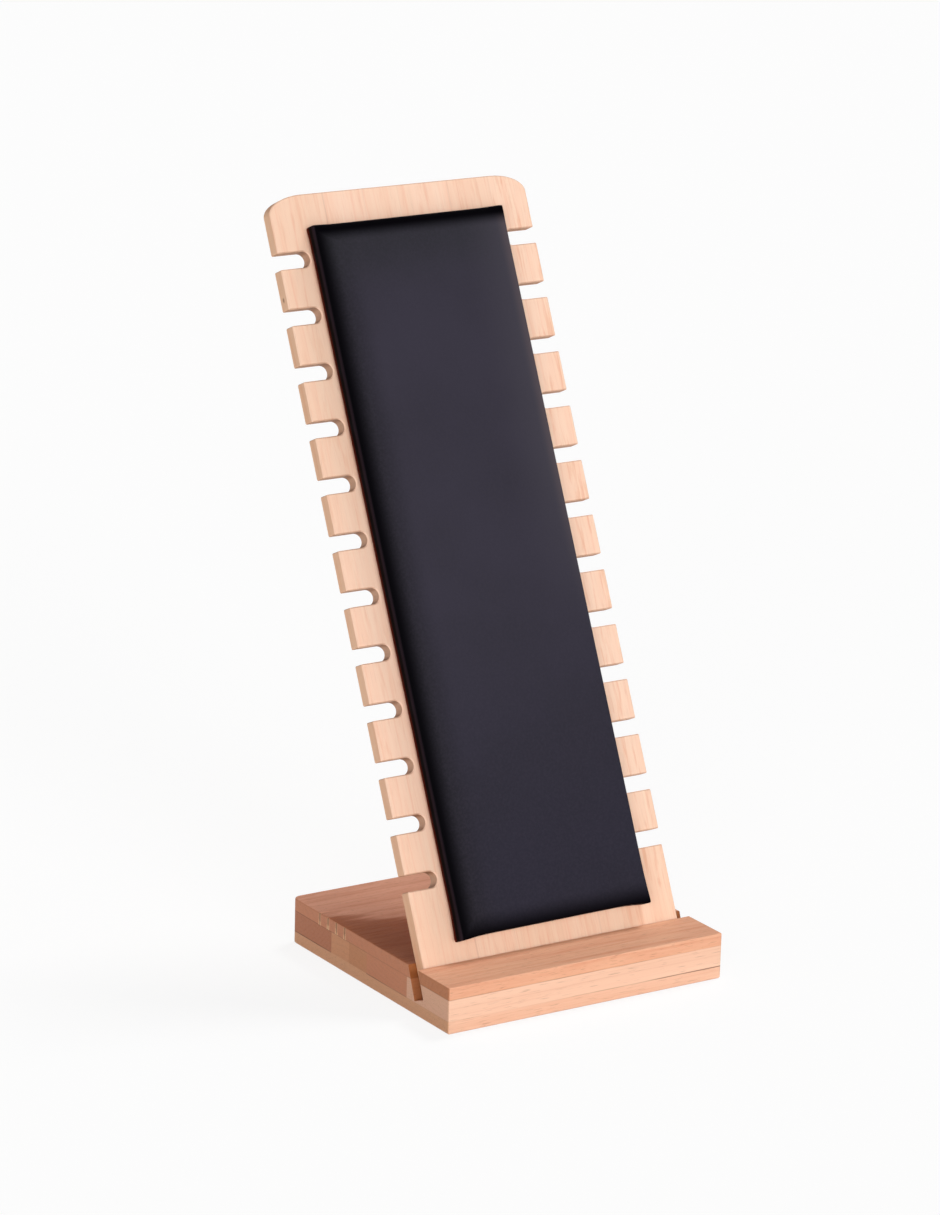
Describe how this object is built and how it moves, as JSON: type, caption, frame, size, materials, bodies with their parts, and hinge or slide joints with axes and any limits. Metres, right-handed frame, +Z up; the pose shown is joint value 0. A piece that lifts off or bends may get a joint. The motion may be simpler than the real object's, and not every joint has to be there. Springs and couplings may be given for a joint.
{
  "type": "eyeglass display rack",
  "caption": "Countertop eyeglass rack: a leaning board with temple notches along both sides and a padded leatherette panel, standing in a slanted slot of a wooden base block.",
  "frame": {"origin": "centre of the underside of the base block, on the surface that the rack stands on", "axes": "+Z up, +X to the right as seen from the front, -Y towards the viewer, where the front rail is"},
  "size_m": [0.182, 0.2226, 0.4228],
  "materials": {
    "base_wood": "clear satin oil on laminated softwood",
    "base_wood_dark": "clear satin oil, darker stave",
    "base_wood_light": "clear satin oil, paler stave",
    "board_wood": "pale sanded wood, clear satin",
    "leatherette": "black matte leatherette, fine grain",
    "foam": "open-cell foam",
    "hardboard": "raw hardboard",
    "tape": "double-sided foam tape"
  },
  "bodies": {
    "base": {"bottom_board": "base_wood", "core_stave_rear": "base_wood_dark", "core_stave_second": "base_wood_light", "core_stave_third": "base_wood", "core_stave_front": "base_wood_light", "top_stave_rear": "base_wood", "top_stave_fingered": "base_wood", "top_stave_front": "base_wood", "finger_tips": "base_wood_light", "rail_cap": "base_wood"},
    "rack_board": {"notched_board": "board_wood", "pad_board": "hardboard", "pad_foam": "foam", "pad_cover": "leatherette", "pad_tape": "tape"}
  },
  "joints": [
    {"name": "board_lift", "type": "slide", "parent": "base", "child": "rack_board", "axis": [0, 0.4183, 0.9083], "range_m": [0, 0.05]}
  ]
}
